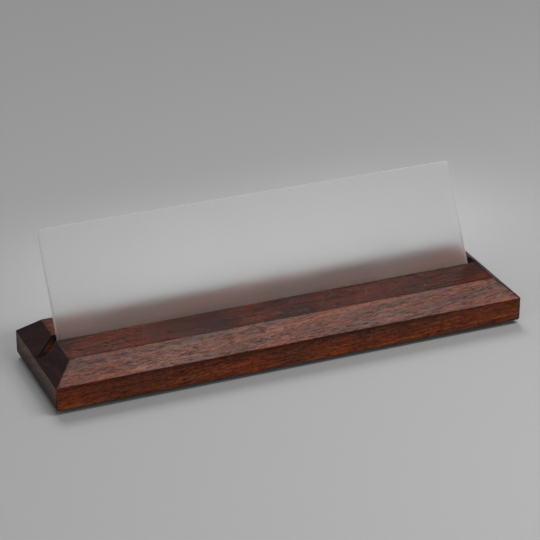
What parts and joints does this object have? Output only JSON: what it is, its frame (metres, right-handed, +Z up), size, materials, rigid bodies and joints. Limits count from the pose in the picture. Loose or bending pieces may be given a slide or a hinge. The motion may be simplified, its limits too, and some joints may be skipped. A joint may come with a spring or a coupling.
{
  "type": "desk name plate",
  "caption": "Desk name plate: dark wooden block with bevelled edges and a leaning slot that holds a blank frosted acrylic plate tilted back, standing on small rubber feet.",
  "frame": {"origin": "on the desk, under the middle of the base block", "axes": "+X along the block, to the reader's right; +Y away from the reader; +Z up; the plate's face looks to -Y"},
  "size_m": [0.254, 0.067, 0.0717],
  "materials": {
    "lacquered_wood": "dark hardwood, grain along the length, satin to gloss lacquer",
    "frosted_acrylic": "frosted faces, bright cut edges",
    "foot_rubber": "matte"
  },
  "bodies": {
    "base": {"base_block": "lacquered_wood", "foot_front_left": "foot_rubber", "foot_front_right": "foot_rubber", "foot_rear_left": "foot_rubber", "foot_rear_right": "foot_rubber"},
    "plate": {"name_plate": "frosted_acrylic"}
  },
  "joints": [
    {"name": "plate_lift", "type": "slide", "parent": "base", "child": "plate", "axis": [0, 0.5, 0.866], "range_m": [0, 0.03]}
  ]
}
